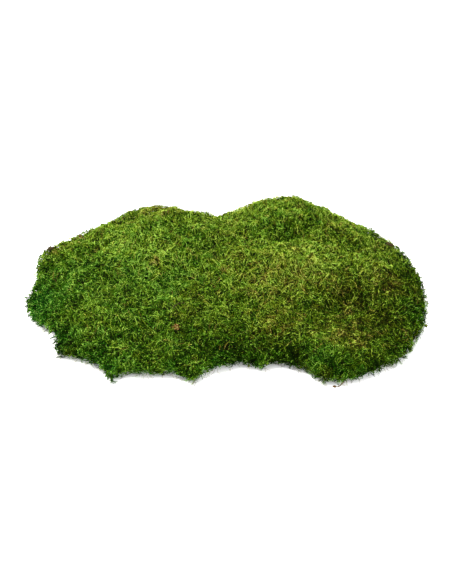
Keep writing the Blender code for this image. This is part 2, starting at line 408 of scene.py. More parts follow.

# x and y in mm, radius in mm, change of hue, change of shade. Some shade steps are painted shade and painted light:
# shade in hollows, dips, round the flake and down the right flank, light on the crowns
colourPatches = [
    (-156, -28, 20, -0.54, 0.02),  # fresh green at the left end
    (-138, 8, 24, -0.14, -0.02),
    (-110, 0, 18, -0.11, 0.00),
    (-146, 44, 14, 0.10, 0.04),
    (-149, 25, 11, 0.00, -0.10),
    (-152, 2, 12, -0.08, -0.07),
    (-55, -26, 14, -0.08, -0.03),
    (-76, -94, 10, 0.00, 0.08),
    (-36, -98, 9, -0.10, -0.06),
    (-16, -97, 10, 0.02, 0.10),
    (104, 58, 12, 0.00, 0.11),
    (124, 8, 14, 0.00, 0.15),
    (72, 36, 12, 0.00, -0.08),
    (84, -88, 10, -0.04, 0.10),
    (112, -12, 58, 0.06, 0.00),  # the right half is more olive
    (-66, 64, 18, 0.04, 0.04),
    (34, 72, 22, 0.04, 0.03),
    (54, -90, 8, 0.06, -0.18),  # small dark hollows, their dark painted shade, and the green tufts below them
    (38, -83, 6, 0.02, -0.12),
    (8, -80, 8, 0.00, -0.14),
    (-14, -90, 7, 0.00, -0.14),
    (78, -101, 8, -0.04, -0.12),
    (118, -96, 7, 0.02, -0.12),
    (110, -24, 5, 0.00, -0.18),
    (150, -52, 6, -0.08, -0.12),
    (-104, -84, 9, -0.05, -0.10),
    (-150, 20, 5, 0.00, -0.16),
    (20, -99, 8, -0.14, 0.10),
    (-6, -100, 8, -0.14, 0.10),
    (46, -99, 7, -0.12, 0.10),
    (68, -95, 7, -0.08, 0.14),
    (116, -98, 13, 0.00, -0.08),
    (-60, 4, 42, -0.09, 0.09),
    (-72, 24, 16, 0.04, 0.10),
    (-46, -46, 14, 0.00, 0.12),
    (-2, -54, 14, 0.10, 0.12),
    (-100, 44, 20, 0.00, 0.05),
    (-80, -78, 50, -0.10, -0.10),  # lower left, greener and darker
    (-104, -60, 11, 0.02, 0.16),
    (-134, -68, 16, -0.28, -0.18),
    (-94, -98, 17, -0.20, 0.02),
    (-57, 2, 5, 0.34, 0.05),  # small ochre tuft
    (-38, -52, 11, 0.16, -0.12),  # painted shadow round the dead flake
    (-87, -85, 7, 0.18, 0.12),
    (12, -86, 36, -0.14, -0.21),  # painted shade in the hollow along the front
    (34, -62, 18, 0.22, 0.05),
    (53, -88, 10, 0.04, -0.20),
    (88, -102, 30, -0.18, -0.08),
    (101, -34, 20, 0.09, -0.15),  # olive, with painted shade in the hollow on the right
    (76, -44, 15, 0.02, -0.09),
    (40, -20, 26, 0.12, 0.05),
    (96, -76, 20, 0.24, -0.02),
    # painted shade down the right flank, which faces away from the light
    (130, -54, 18, 0.08, -0.22),
    (138, -14, 17, 0.12, -0.15),
    (156, -34, 16, -0.16, -0.14),
    (160, 6, 16, -0.05, -0.24),
    (146, 26, 16, 0.02, -0.08),
    (138, -86, 16, -0.04, -0.16),
    (100, 32, 32, 0.02, -0.02),
    (72, 2, 19, 0.01, 0.17),
    (8, 2, 16, 0.10, 0.04),
    (12, 68, 26, 0.10, 0.11),  # bright crowns: painted light on the tops
    (88, 74, 26, 0.03, 0.10),
    (-55, 70, 24, 0.12, 0.05),
    (-104, 52, 16, 0.06, -0.02),
    (35, 34, 22, -0.07, 0.06),
    (52, 24, 12, -0.08, -0.14),  # painted shade in the dip above the ledge
    (44, -2, 20, 0.06, 0.08),
    (-162, -26, 6, 0.22, -0.16),
    (-126, -80, 7, 0.20, -0.04),
    (76, -107, 7, 0.24, -0.10),
]


def mossColour(x, y):
    # hue and shade = an even value + long and short ripples + the patches, each exp(-(distance / radius) squared)
    hue = 0.414 + 0.02 * ripple(x, y, 46 * mm, 21) + 0.05 * ripple(x, y, 12 * mm, 22)
    shade = 0.50 + 0.02 * ripple(x, y, 34 * mm, 23) + 0.02 * ripple(x, y, 9 * mm, 24)
    for px, py, radius, hueStep, shadeStep in colourPatches:
        near = np.exp(-((x - px * mm) ** 2 + (y - py * mm) ** 2) / (radius * mm) ** 2)
        hue = hue + near * hueStep
        shade = shade + near * shadeStep
    return hue, shade


def leafPaint(name):
    # colour = hue ramp of the column * shade of the row, darker at the leaf base as painted shade, paler at its rib
    # and margin.
    # Dark rows lean to deep green and light rows to a pale yellow-green, the painted shade and painted highlight
    # colours of moss out of and in the light
    paint = Paint(name, Specular_IOR_Level=0.01)
    flat = paint.add("ShaderNodeUVMap", {"uv_map": "OFBake"})
    u = paint.add("ShaderNodeSeparateXYZ", None, {0: flat})
    columns, rows = u * leafAtlas["hues"], u.other("Y") * leafAtlas["shades"]
    column, row = columns.floor(), rows.floor()
    across, along = columns - column, rows - row
    hue = paint.ramp(column / (leafAtlas["hues"] - 1), leafAtlas["stops"])
    span = leafAtlas["lightest"] - leafAtlas["darkest"]
    tone = row / (leafAtlas["shades"] - 1)
    shade = tone ** leafAtlas["contrast"] * span + leafAtlas["darkest"]
    # painted shade colour in the dark rows and painted highlight colour in the light rows
    deep = paint.blend(1.0, hue, leafAtlas["deep"], "MULTIPLY")
    hue = paint.blend(tone.between(0.0, 0.55), deep, hue)
    hue = paint.blend(tone.between(0.45, 1.0) * 0.30, hue, leafAtlas["pale"])
    fromRib = (across - 0.5).size() * 2
    grain = paint.noise(paint.stretched(flat, (240.0, 40.0, 1.0)), 1.0, 2.0)
    fleck = paint.noise(paint.stretched(flat, (60.0, 50.0, 1.0)), 1.0, 4.0, 0.7)
    # painted shade: each leaf darker towards its base, where the leaf above covers it, with grain and a rib and
    # margin of its own
    light = (along * 0.55 + 0.68) * ((grain - 0.5) * 0.7 + 1.0) * (fromRib.between(0.0, 0.25) * 0.22 + 0.82)
    light = light + fromRib.between(0.72, 1.0) * 0.16
    colour = paint.blend(1.0, hue, paint.add("ShaderNodeCombineColor", None, {k: shade * light for k in range(3)}),
                         "MULTIPLY")
    dry = fleck.between(0.58, 0.74) * 0.3
    colour = paint.blend(dry, colour, paint.blend(0.5, colour, fromScreen(120, 90, 30)))
    roughness = 0.72 - along * 0.12 + (grain - 0.5) * 0.2
    height = fromRib.between(0.0, 0.22) * 0.5 + grain * 0.35 + fleck * 0.2
    return paint.finish(colour, roughness, paint.bump(height, 0.35, 0.15 * mm))


# Leafy shoots: paths over the surface, with folded leaves set round them

shootSet = {
    "samples": 260000,
    "lowest": 0.35 * mm,
    "stemLines": 3,  # cross lines of a stem's ribbon
    "turnOfCells": (0.5, 0.3, 0.8),  # keeps the cells out of line with the clump
}
# Each layer's shade step paints the lower layers darker: partly painted shade under the crown, partly older, darker
# shoots
shootLayers = [
    {"name": "mossUnder", "pieces": 1, "cell": 4.2 * mm, "leaves": 9, "length": (5.0 * mm, 8.0 * mm),
     "depth": (2.5 * mm, 4.0 * mm), "lift": (-3.6 * mm, 0.4 * mm), "upright": 0.0, "shade": (-0.40, 0.05),
     "leafLength": 2.0 * mm, "leafWidth": 0.85 * mm},
    {"name": "mossMiddle", "pieces": 2, "cell": 3.0 * mm, "leaves": 8, "length": (3.6 * mm, 6.2 * mm),
     "depth": (2.5 * mm, 4.2 * mm), "lift": (-2.4 * mm, 0.4 * mm), "upright": 0.03, "shade": (-0.15, 0.13),
     "leafLength": 1.15 * mm, "leafWidth": 0.58 * mm},
    {"name": "mossCrown", "pieces": 3, "cell": 2.15 * mm, "leaves": 10, "length": (2.2 * mm, 4.8 * mm),
     "depth": (2.0 * mm, 3.8 * mm), "lift": (-1.3 * mm, 0.6 * mm), "upright": 0.08, "shade": (0.13, 0.16),
     "leafLength": 0.95 * mm, "leafWidth": 0.47 * mm},
]


def shootPaths(shoots, stations):
    # base + normal * h + heading * r + side * c, where h rises as a quarter sine to the lift and then droops,
    # r = length s to 1.35, and c = curl length s s plus a small wave. The path is then laid on the roof
    # and pushed back inside the edge, and what it loses outward it goes down
    s = stations
    part = lambda name: shoots[name][:, None]
    rise = np.sin(np.pi / 2 * np.clip(s / 0.40, 0, 1))
    h = -part("depth") + (part("depth") + part("lift")) * rise - part("droop") * np.clip(s - 0.5, 0, 1) ** 2 * 4
    r = part("length") * (s ** 1.35 - 0.42)
    wave = part("wobble") * np.sin(math.tau * (1.2 * s + part("phase")))
    c = part("curl") * part("length") * (s ** 2 - 0.2) + wave
    n, t, u = (shoots[name][:, None, :] for name in ("normal", "heading", "side"))
    path = shoots["root"][:, None, :] + n * h[..., None] + t * r[..., None] + u * c[..., None]
    x, y, z = path[..., 0], path[..., 1], path[..., 2]
    roof, inward = readMap(roofMap, x, y), readMap(inwardMap, x, y)
    flatness = part("flatness") * easeBetween(3 * mm, 9 * mm, inward)
    onRoof = roof + h / np.maximum(n[..., 2], 0.5)
    z = z + (onRoof - z) * flatness
    excess = np.clip(-part("reach") - inward, 0, None)
    slopeX, slopeY = readMap(inwardSlopeX, x, y), readMap(inwardSlopeY, x, y)
    x, y = x + excess * slopeX, y + excess * slopeY
    z = z - excess * 0.8
    floor = 1.1 * mm + part("wobble")
    z = np.where(z < floor, floor - (floor - z) * 0.08, z)
    return np.stack([x, y, z], -1)


def framesAlong(path, normals):
    # forward = the path's own slope, sideways = forward x normal, outward = sideways x forward
    forward = unit(np.gradient(path, axis=1))
    sideways = unit(np.cross(forward, np.broadcast_to(normals[:, None, :], path.shape)))
    return forward, sideways, np.cross(sideways, forward)


def leafCorners(base, forward, sideways, outward, leaf):
    # radial = outward cos turn + sideways sin turn. The leaf points along forward cos open + radial sin open.
    # Its corners: base, left and right at 0.42 of its length and raised, and a tip that bends back to the path
    turn, opening, length, width = (leaf[name][..., None] for name in ("turn", "open", "length", "width"))
    radial = outward * np.cos(turn) + sideways * np.sin(turn)
    axis = forward * np.cos(opening) + radial * np.sin(opening)
    face = radial * np.cos(opening) - forward * np.sin(opening)
    across = np.cross(axis, face)
    middle = base + axis * length * 0.42 + face * length * 0.13
    tip = base + axis * length + (forward * 0.7 - radial * 0.4) * length * leaf["bend"][..., None]
    return np.stack([base, middle - across * width / 2, tip, middle + across * width / 2], -2)


def atlasCell(hue, shade, draw):
    # column and row of the leaf map, with a little dither so that no step shows
    column = np.floor(hue * leafAtlas["hues"] + draw.uniform(-0.4, 0.4, hue.shape))
    row = np.floor(shade * leafAtlas["shades"] + draw.uniform(-0.4, 0.4, hue.shape))
    return np.clip(column, 0, leafAtlas["hues"] - 1), np.clip(row, 0, leafAtlas["shades"] - 1)


def atlasPlace(cell, local):
    # place on the map = (cell + place inside the leaf) / number of cells
    column, row = cell
    u = (column[..., None] + local[:, 0]) / leafAtlas["hues"]
    v = (row[..., None] + local[:, 1]) / leafAtlas["shades"]
    return np.stack([u, v], -1)


def leafyShoots(shoots, wanted, draw):
    # leaves: four corners each, two triangles that meet along the rib. Stem: a ribbon between cross lines
    count, number = len(shoots["root"]), wanted["leaves"]
    spread = np.linspace(0.26, 1.0, number)
    stations = np.clip(spread + draw.uniform(-0.02, 0.02, (count, number)), 0, 1)
    path = shootPaths(shoots, stations)
    forward, sideways, outward = framesAlong(path, shoots["normal"])
    golden = (np.arange(number) * 0.618 + draw.random((count, 1))) % 1
    end = easeBetween(0.72, 1.0, stations)
    size = (0.80 + 0.20 * np.sin(np.pi * stations)) * (1 - 0.42 * end) * draw.uniform(0.85, 1.15, stations.shape)
    leaf = {
        "turn": np.radians((golden * 2 - 1) * 105),
        "open": np.radians(shoots["open"][:, None] * (1 - 0.62 * end)) * draw.uniform(0.8, 1.2, stations.shape),
        "length": wanted["leafLength"] * shoots["leafScale"][:, None] * size,
        "width": wanted["leafWidth"] * size * draw.uniform(0.85, 1.15, stations.shape),
        "bend": draw.uniform(0.05, 0.30, stations.shape),
    }
    corners = leafCorners(path, forward, sideways, outward, leaf)
    along = (spread - spread[0]) / (1 - spread[0])
    hue = shoots["hue"][:, None] + 0.10 * (1 - along) ** 2 + draw.normal(0, 0.03, stations.shape)
    # shoot bases darker, partly painted shade under the leaves above and partly older leaves, and tips lighter
    shade = shoots["shade"][:, None] - 0.22 * (1 - along) ** 1.5 + 0.10 * end + draw.normal(0, 0.24, stations.shape)
    shade = shade - 0.34 * (golden * 2 - 1) ** 2  # painted shade: leaves at the sides of a shoot are darker than those on its back, which the light reaches
    cell = atlasCell(hue, shade, draw)
    kite = np.array([[0.5, 0.05], [0.06, 0.45], [0.5, 0.95], [0.94, 0.45]])
    kiteFaces = np.array([[0, 2, 1], [0, 3, 2]])
    leafUvs = atlasPlace(cell, kite)[..., kiteFaces, :]
    starts = np.arange(count * number).reshape(count, number) * 4
    leafFaces = starts[..., None, None] + kiteFaces

    crossings = shootSet["stemLines"]
    lines = np.broadcast_to(np.linspace(0.04, 0.94, crossings), (count, crossings))
    stem = shootPaths(shoots, lines)
    _, across, _ = framesAlong(stem, shoots["normal"])
    half = 0.17 * mm * (1.15 - lines)[..., None]
    ribbon = np.stack([stem - across * half, stem + across * half], 2)
    stripFaces = np.array([[0, 1, 3], [0, 3, 2]])
    stemStarts = count * number * 4 + (np.arange(count)[:, None] * crossings + np.arange(crossings - 1)) * 2
    stemFaces = stemStarts[..., None, None] + stripFaces
    stemHue, stemShade = (np.repeat(shoots[what][:, None] + step, crossings - 1, 1)
                          for what, step in (("hue", 0.12), ("shade", -0.14)))
    stemCell = atlasCell(stemHue, stemShade, draw)
    strip = np.array([[0.42, 0.1], [0.58, 0.1], [0.42, 0.9], [0.58, 0.9]])
    stemUvs = atlasPlace(stemCell, strip)[..., stripFaces, :]

    points = np.concatenate([corners.reshape(-1, 3), ribbon.reshape(-1, 3)])
    points[:, 2] = np.maximum(points[:, 2], shootSet["lowest"])
    faces = np.concatenate([leafFaces.reshape(-1, 3), stemFaces.reshape(-1, 3)])
    uvs = np.concatenate([leafUvs.reshape(-1, 3, 2), stemUvs.reshape(-1, 3, 2)])
    return points, faces, uvs


def pickCells(points, size, draw):
    # one point for each cell of a turned cubic grid, mostly the one nearest to its middle
    turn = np.array(mathutils.Euler(shootSet["turnOfCells"]).to_matrix())
    scaled = points @ turn / size + draw.random(3)
    cell = np.floor(scaled).astype(np.int64)
    off = ((scaled - cell - 0.5) ** 2).sum(1) + draw.random(len(points)) * 0.25
    key = (cell[:, 0] * 4001 + cell[:, 1]) * 4001 + cell[:, 2]
    order = np.lexsort((off, key))
    _, first = np.unique(key[order], return_index=True)
    return order[first]


def mossShoots(wanted, draw):
    # where the shoots of a layer rise, which way they lean, how long they are and what colour they have
    spots, normals = scatter(cushionPoints, cushionFaces, cushionNormals, shootSet["samples"], draw)
    inward = readMap(inwardMap, spots[:, 0], spots[:, 1])
    outside = (spots[:, 2] > 1.1 * mm) & ((normals[:, 2] > -0.25) | (inward < 2.5 * mm))
    spots, normals = spots[outside], normals[outside]
    kept = pickCells(spots, wanted["cell"], draw)
    spots, normals = spots[kept], normals[kept]
    x, y, z = spots.T
    count = len(spots)
    steep = 1 - easeBetween(0.35, 0.85, normals[:, 2])
    downhill = unit(-upward + normals * normals[:, 2:3] + 1e-6)
    level = unit(np.cross(normals, downhill))
    flow = ripple(x, y, 26 * mm, 31) * 1.0 + draw.normal(0, 1.8, count)
    angle = flow * (1 - 0.55 * steep)
    heading = downhill * np.cos(angle)[:, None] + level * np.sin(angle)[:, None]
    heading = unit(heading - normals * (heading * normals).sum(1, keepdims=True))
    hue, shade = mossColour(x, y)
    clump = ripple(x, y, 5.5 * mm, 33) * 0.6 + ripple(x, y, 11 * mm, 34) * 0.8
    edgeTuft = ripple(x, y, 7 * mm, 35) + 0.7 * ripple(x, y, 15 * mm, 36)
    lift = wanted["lift"][0] + clump * 0.7 * mm + draw.normal(0, wanted["lift"][1], count) + knobs(crestKnobs, x, y)
    upright = draw.random(count) < wanted["upright"]
    lift = lift + upright * draw.uniform(0.6 * mm, 1.9 * mm, count)
    odd = draw.random(count)
    hue = hue + draw.normal(0, 0.07, count) + 0.28 * (odd < 0.02) + 0.42 * (odd > 0.994)
    low = 1 - easeBetween(2 * mm, 9 * mm, z)
    shoots = {
        "root": spots,
        "normal": normals,
        "heading": heading,
        "side": np.cross(normals, heading),
        "length": draw.uniform(*wanted["length"], count) * (1 - 0.30 * steep),
        "depth": draw.uniform(*wanted["depth"], count) * (1 - 0.45 * steep),
        "lift": np.clip(lift, -5.0 * mm, 3.6 * mm),
        "droop": draw.uniform(-0.6 * mm, 0.9 * mm, count) * (1 - upright),
        "curl": draw.normal(0, 1.3, count),
        "wobble": draw.uniform(0.1 * mm, 0.45 * mm, count),
        "phase": draw.random(count),
        "reach": np.clip(draw.exponential(1.2 * mm, count) + (edgeTuft - 0.4) * 1.6 * mm, -3.0 * mm, 5 * mm),
        "flatness": easeBetween(0.45, 0.75, normals[:, 2]),
        "open": draw.uniform(32, 48, count),
        "leafScale": draw.uniform(0.85, 1.2, count),
        "hue": hue - 0.14 * low * draw.random(count),
        # painted shade and light: the layer's step darkens the lower layers as shade under the crown, and clump *
        # 0.03 paints raised tufts lighter
        "shade": shade + wanted["shade"][0] + clump * 0.03 + 0.05 * low + draw.normal(0, wanted["shade"][1], count),
    }
    print(wanted["name"], "shoots:", count)
    return shoots


def someOf(shoots, chosen):
    return {name: values[chosen] for name, values in shoots.items()}


mossFinish = leafPaint("moss leaf")
for layer in shootLayers:
    shoots = mossShoots(layer, draw)
    bands = np.array_split(np.argsort(-shoots["root"][:, 1]), layer["pieces"])
    for number, band in enumerate(bands, 1):
        points, faces, uvs = leafyShoots(someOf(shoots, band), layer, draw)
        name = layer["name"] + (str(number) if layer["pieces"] > 1 else "")
        putMesh(name, points, faces, mossFinish, ("moss_cushion",), uvs, smooth=False)


# Sprigs that stand out from the rim, and the single ones that show against the ground in the picture

sprigSet = {"name": "rimSprigs", "count": 1050, "leaves": 20, "leafLength": 1.10 * mm, "leafWidth": 0.52 * mm}
# x, y and z of the root in mm, heading in degrees, length in mm, curl
loneSprigs = [
    (156.5, -41.5, 4.5, -35, 11.0, 0.4),
    (150.0, -53.5, 3.6, -40, 10.0, 1.6),
    (151.0, -56.0, 3.0, -75, 9.5, -1.6),
    (136.2, -84.3, 4.5, -68, 13.0, -0.3),
    (139.0, -81.0, 3.6, -50, 9.5, 0.8),
    (134.5, -84.5, 3.0, -85, 9.0, -0.4),
    (75.0, -106.5, 3.5, -100, 7.5, 0.8),
    (78.0, -107.0, 3.0, -70, 8.0, -0.8),
    (-165.0, -14.0, 3.6, 172, 9.0, -0.7),
    (-136.5, -57.0, 4.0, 196, 10.0, 1.2),
    (-133.0, -68.0, 4.0, 205, 10.0, -1.0),
    (-134.0, -74.0, 3.0, 230, 8.5, 0.7),
    (-89.0, -105.0, 3.0, 262, 8.0, 0.6),
    (-142.0, -51.0, 4.0, 205, 9.5, 0.3),
    (-139.0, -57.0, 3.6, 215, 9.5, -0.3),
    (-136.0, -62.0, 3.6, 200, 9.5, 0.0),
    (-131.0, -72.0, 3.2, 185, 10.0, 0.2),
    (-132.0, -80.0, 3.0, 200, 9.0, -0.2),
    (-160.5, -8.0, 8.0, 170, 9.5, 0.3),
    (-161.0, -14.0, 7.0, 182, 9.5, -0.3),
    (161.0, -8.0, 9.0, -6, 8.5, 0.2),
    (161.0, 1.0, 10.0, 8, 8.5, -0.2),
]


def rimSprigs(wanted, draw):
    # roots a little inside the edge, headed outward with a spread of half a radian, free to pass the edge
    spots, normals = scatter(cushionPoints, cushionFaces, cushionNormals, wanted["count"] * 60, draw)
    inward = readMap(inwardMap, spots[:, 0], spots[:, 1])
    near = (inward > 0.8 * mm) & (inward < 4.5 * mm) & (spots[:, 2] > 1.2 * mm) & (normals[:, 2] > -0.5)
    spots = spots[near][:wanted["count"]]
    lone = np.repeat(np.array(loneSprigs), 4, 0)
    lone = lone + draw.normal(0, 1, lone.shape) * (0.5, 0.5, 0.3, 9, 1.2, 0.3)
    roots = np.concatenate([spots, lone[:, :3] * mm])
    count, single = len(roots), np.arange(len(roots)) >= len(spots)
    x, y = roots[:, 0], roots[:, 1]
    outward = np.arctan2(-readMap(inwardSlopeY, x, y), -readMap(inwardSlopeX, x, y)) + draw.normal(0, 0.55, count)
    angle = np.where(single, np.pad(np.radians(lone[:, 3]), (len(spots), 0)), outward)
    tilt = np.where(single, 0.10, draw.uniform(-0.7, 0.4, count))
    heading = np.stack([np.cos(angle) * np.cos(tilt), np.sin(angle) * np.cos(tilt), np.sin(tilt)], -1)
    normals = unit(upward - heading * heading[:, 2:3])
    tuft = ripple(x, y, 6 * mm, 37)
    length = (draw.gamma(6.0, 0.8 * mm, count) * (1 + 0.4 * tuft)).clip(2.5 * mm, 10 * mm)
    hue, shade = mossColour(x, y)
    return {
        "root": roots,
        "normal": normals,
        "heading": heading,
        "side": np.cross(normals, heading),
        "length": np.where(single, np.pad(lone[:, 4] * mm, (len(spots), 0)), length),
        "depth": draw.uniform(0.4 * mm, 1.2 * mm, count),
        "lift": draw.uniform(-0.2 * mm, 0.9 * mm, count),
        "droop": draw.uniform(0.0, 1.6 * mm, count),
        "curl": np.where(single, np.pad(lone[:, 5], (len(spots), 0)), draw.normal(0, 0.7, count)) * 0.6,
        "wobble": draw.uniform(0.1 * mm, 0.4 * mm, count),
        "phase": draw.random(count),
        "reach": np.where(single, 12 * mm, 5 * mm),
        "flatness": np.zeros(count),
        "open": draw.uniform(22, 40, count),
        "leafScale": draw.uniform(0.8, 1.15, count),
        "hue": hue + draw.normal(-0.05, 0.08, count),
        "shade": shade + draw.normal(0.08, 0.12, count),
    }


points, faces, uvs = leafyShoots(rimSprigs(sprigSet, draw), sprigSet, draw)
putMesh(sprigSet["name"], points, faces, mossFinish, ("moss_cushion",), uvs, smooth=False)


# Dark bed that the shoots grow from, its near-black colour partly painted shade, and the humus mat under it

bedSet = {"inset": 4.0 * mm, "backStep": 1.9 * mm, "under": 5.8 * mm, "bottom": 1.6 * mm, "rim": 3.6 * mm,
          "angles": 300, "rings": 48, "floorRings": 10}


def edgeRadius(inset, angles):
    # along each direction from the middle, the furthest place that is still the inset away from the edge
    radii = np.linspace(0, 0.185, 741)
    x, y = np.cos(angles)[:, None] * radii, np.sin(angles)[:, None] * radii
    inside = readMap(coveredInward, x, y) >= inset
    return radii[len(radii) - 1 - inside[:, ::-1].argmax(1)]


def closedDisc(reach, wanted, topOf, bottomOf):
    # rings of angle and share: x = share reach cos, y = share reach sin. The top rings carry z = topOf(x, y, share)
    # and the bottom rings z = bottomOf(x, y, share). They meet at share 1, and each side closes on a middle point
    angles = np.linspace(0, math.tau, wanted["angles"], endpoint=False)
    topShares = 1 - np.linspace(0, 1, wanted["rings"] + 1)[:-1] ** 1.25
    lowShares = np.linspace(0, 1, wanted["floorRings"] + 1)[1:-1]
    shares = np.concatenate([lowShares, topShares])[:, None]
    x, y = shares * reach * np.cos(angles), shares * reach * np.sin(angles)
    low = len(lowShares)
    z = np.concatenate([bottomOf(x[:low], y[:low], shares[:low]), topOf(x[low:], y[low:], shares[low:])])
    middles = [[0, 0, float(bottomOf(np.zeros(1), np.zeros(1), np.zeros(1))[0])],
               [0, 0, float(topOf(np.zeros(1), np.zeros(1), np.zeros(1))[0])]]
    rings, steps = z.shape
    points = np.concatenate([np.stack([x, y, z], -1).reshape(-1, 3), middles])
    ring, step = np.meshgrid(np.arange(rings - 1), np.arange(steps), indexing="ij")
    after = (step + 1) % steps
    a, b, c, d = ring * steps + step, ring * steps + after, (ring + 1) * steps + after, (ring + 1) * steps + step
    walls = np.stack([a, b, c, a, c, d], -1).reshape(-1, 3)
    step, after = np.arange(steps), (np.arange(steps) + 1) % steps
    floorFan = np.stack([after, step, np.full(steps, len(points) - 2)], -1)
    last = (rings - 1) * steps
    topFan = np.stack([last + step, last + after, np.full(steps, len(points) - 1)], -1)
    return points, np.concatenate([walls, floorFan, topFan])


def bedTop(x, y, share):
    # roof - under, less so near the rim, with two ripples, faded at the rim by the fourth root of 1 - share to 10
    lumps = 0.7 * mm * ripple(x, y, 5 * mm, 41) + 0.5 * mm * ripple(x, y, 9 * mm, 42)
    nearRim = 1 - easeBetween(3 * mm, 12 * mm, readMap(inwardMap, x, y))
    atBack = easeBetween(-10 * mm, 20 * mm, y + np.clip(np.abs(x) - 125 * mm, 0, None))
    height = readMap(roofMap, x, y) - bedSet["under"] * (1 - (0.42 + 0.22 * atBack) * nearRim) + lumps
    height = np.maximum(height + np.minimum(knobs(crestKnobs, x, y), 0), bedSet["rim"] + 0.4 * mm)
    return bedSet["rim"] + (height - bedSet["rim"]) * (1 - share ** 10) ** 0.25


def bedBottom(x, y, share):
    # level in the middle, and up to the rim by share to 8, so that the foot of the moss is undercut
    return bedSet["bottom"] + (bedSet["rim"] - bedSet["bottom"]) * share ** 8 + 0.0 * x


def bedPaint():
    paint = Paint("moss bed", Specular_IOR_Level=0.01)
    place = paint.place()
    fibre = paint.noise(paint.stretched(place, (900.0, 900.0, 380.0)), 1.0, 4.0, 0.65, 1.2)
    patch = paint.noise(place, 60.0, 3.0)
    # painted shade: the bed's near-black greens are partly the shade deep between the shoots and partly the old dark
    # stems there
    colour = paint.ramp(fibre, [(0.30, fromScreen(5, 9, 2)), (0.48, fromScreen(14, 21, 4)),
                                (0.62, fromScreen(30, 38, 9)), (0.76, fromScreen(52, 46, 18))])
    colour = paint.blend(patch.between(0.42, 0.66) * 0.5, colour, fromScreen(30, 24, 12))
    return paint.finish(colour, 0.92 - fibre * 0.1, paint.bump(fibre, 0.8, 0.6 * mm))


angles = np.linspace(0, math.tau, bedSet["angles"], endpoint=False)
facing = np.sin(angles) + 0.6 * np.cos(angles) ** 12  # the bed reaches further out at the back and both ends
insets = bedSet["inset"] - bedSet["backStep"] * easeBetween(0.0, 0.5, facing)[:, None]
points, faces = closedDisc(edgeRadius(insets, angles), bedSet, bedTop, bedBottom)
putMesh("mossBed", points, faces, bedPaint(), ("moss_cushion",))


humusSet = {"inset": 11.0 * mm, "top": 7.0 * mm, "relief": 0.7 * mm, "angles": 240, "rings": 30, "floorRings": 46}


def humusTop(x, y, share):
    # a low heap: top * (1 - share to 6) to 0.4, roughened by two ripples
    height = humusSet["top"] - 0.8 * mm + 0.4 * mm * ripple(x, y, 4 * mm, 51) + 0.3 * mm * ripple(x, y, 9 * mm, 52)
    return humusBottom(x, y, share) + (height - 1.2 * mm) * (1 - share ** 6) ** 0.4


def humusBottom(x, y, share):
    # relief * (ripples - their floor): flat islands on the ground with crumbly hollows between them
    rough = 0.55 * ripple(x, y, 3.4 * mm, 53) + 0.6 * ripple(x, y, 8 * mm, 54)
    return humusSet["relief"] * (np.clip(rough, 0, 1.6) * 1.1 + 0.9 * easeBetween(0.90, 1.0, share))


def humusPaint():
    # dark crumbs of three browns by cell, with pale root bits and green-brown stems
    paint = Paint("humus", Specular_IOR_Level=0.15)
    place = paint.place()
    crumb = paint.cells(place, 420.0)
    speck = paint.noise(place, 900.0, 4.0, 0.7)
    patch = paint.noise(place, 90.0, 3.0)
    fibre = paint.noise(paint.stretched(place, (1500.0, 260.0, 800.0), (0.0, 0.0, 0.6)), 1.0, 2.0)
    colour = paint.ramp(speck, [(0.30, fromScreen(26, 18, 12)), (0.50, fromScreen(54, 38, 24)),
                                (0.68, fromScreen(88, 66, 42)), (0.80, fromScreen(128, 104, 70))])
    colour = paint.blend(patch.between(0.45, 0.62) * 0.5, colour, fromScreen(40, 40, 18))
    colour = paint.blend(fibre.between(0.60, 0.70) * 0.5, colour, fromScreen(120, 88, 52))
    height = (1 - crumb) * 0.6 + speck * 0.6
    return paint.finish(colour, 0.95 - speck * 0.12, paint.bump(height, 0.9, 0.5 * mm))


angles = np.linspace(0, math.tau, humusSet["angles"], endpoint=False)
reach = edgeRadius(humusSet["inset"], angles)
for _ in range(60):
    reach = (np.roll(reach, 1) + reach * 2 + np.roll(reach, -1)) / 4
points, faces = closedDisc(reach, humusSet, humusTop, humusBottom)
humusFinish = humusPaint()
putMesh("humusMat", points, faces, humusFinish, ("soil_mat",))


# Threads: root threads under the clump and loose dry fibres on it, round tubes along curved paths

threadAtlas = {"stops": [
    (0.00, fromScreen(46, 30, 14)),
    (0.30, fromScreen(84, 58, 26)),
    (0.55, fromScreen(116, 94, 42)),
    (0.75, fromScreen(136, 124, 62)),
    (1.00, fromScreen(92, 108, 34)),
], "tints": 12}


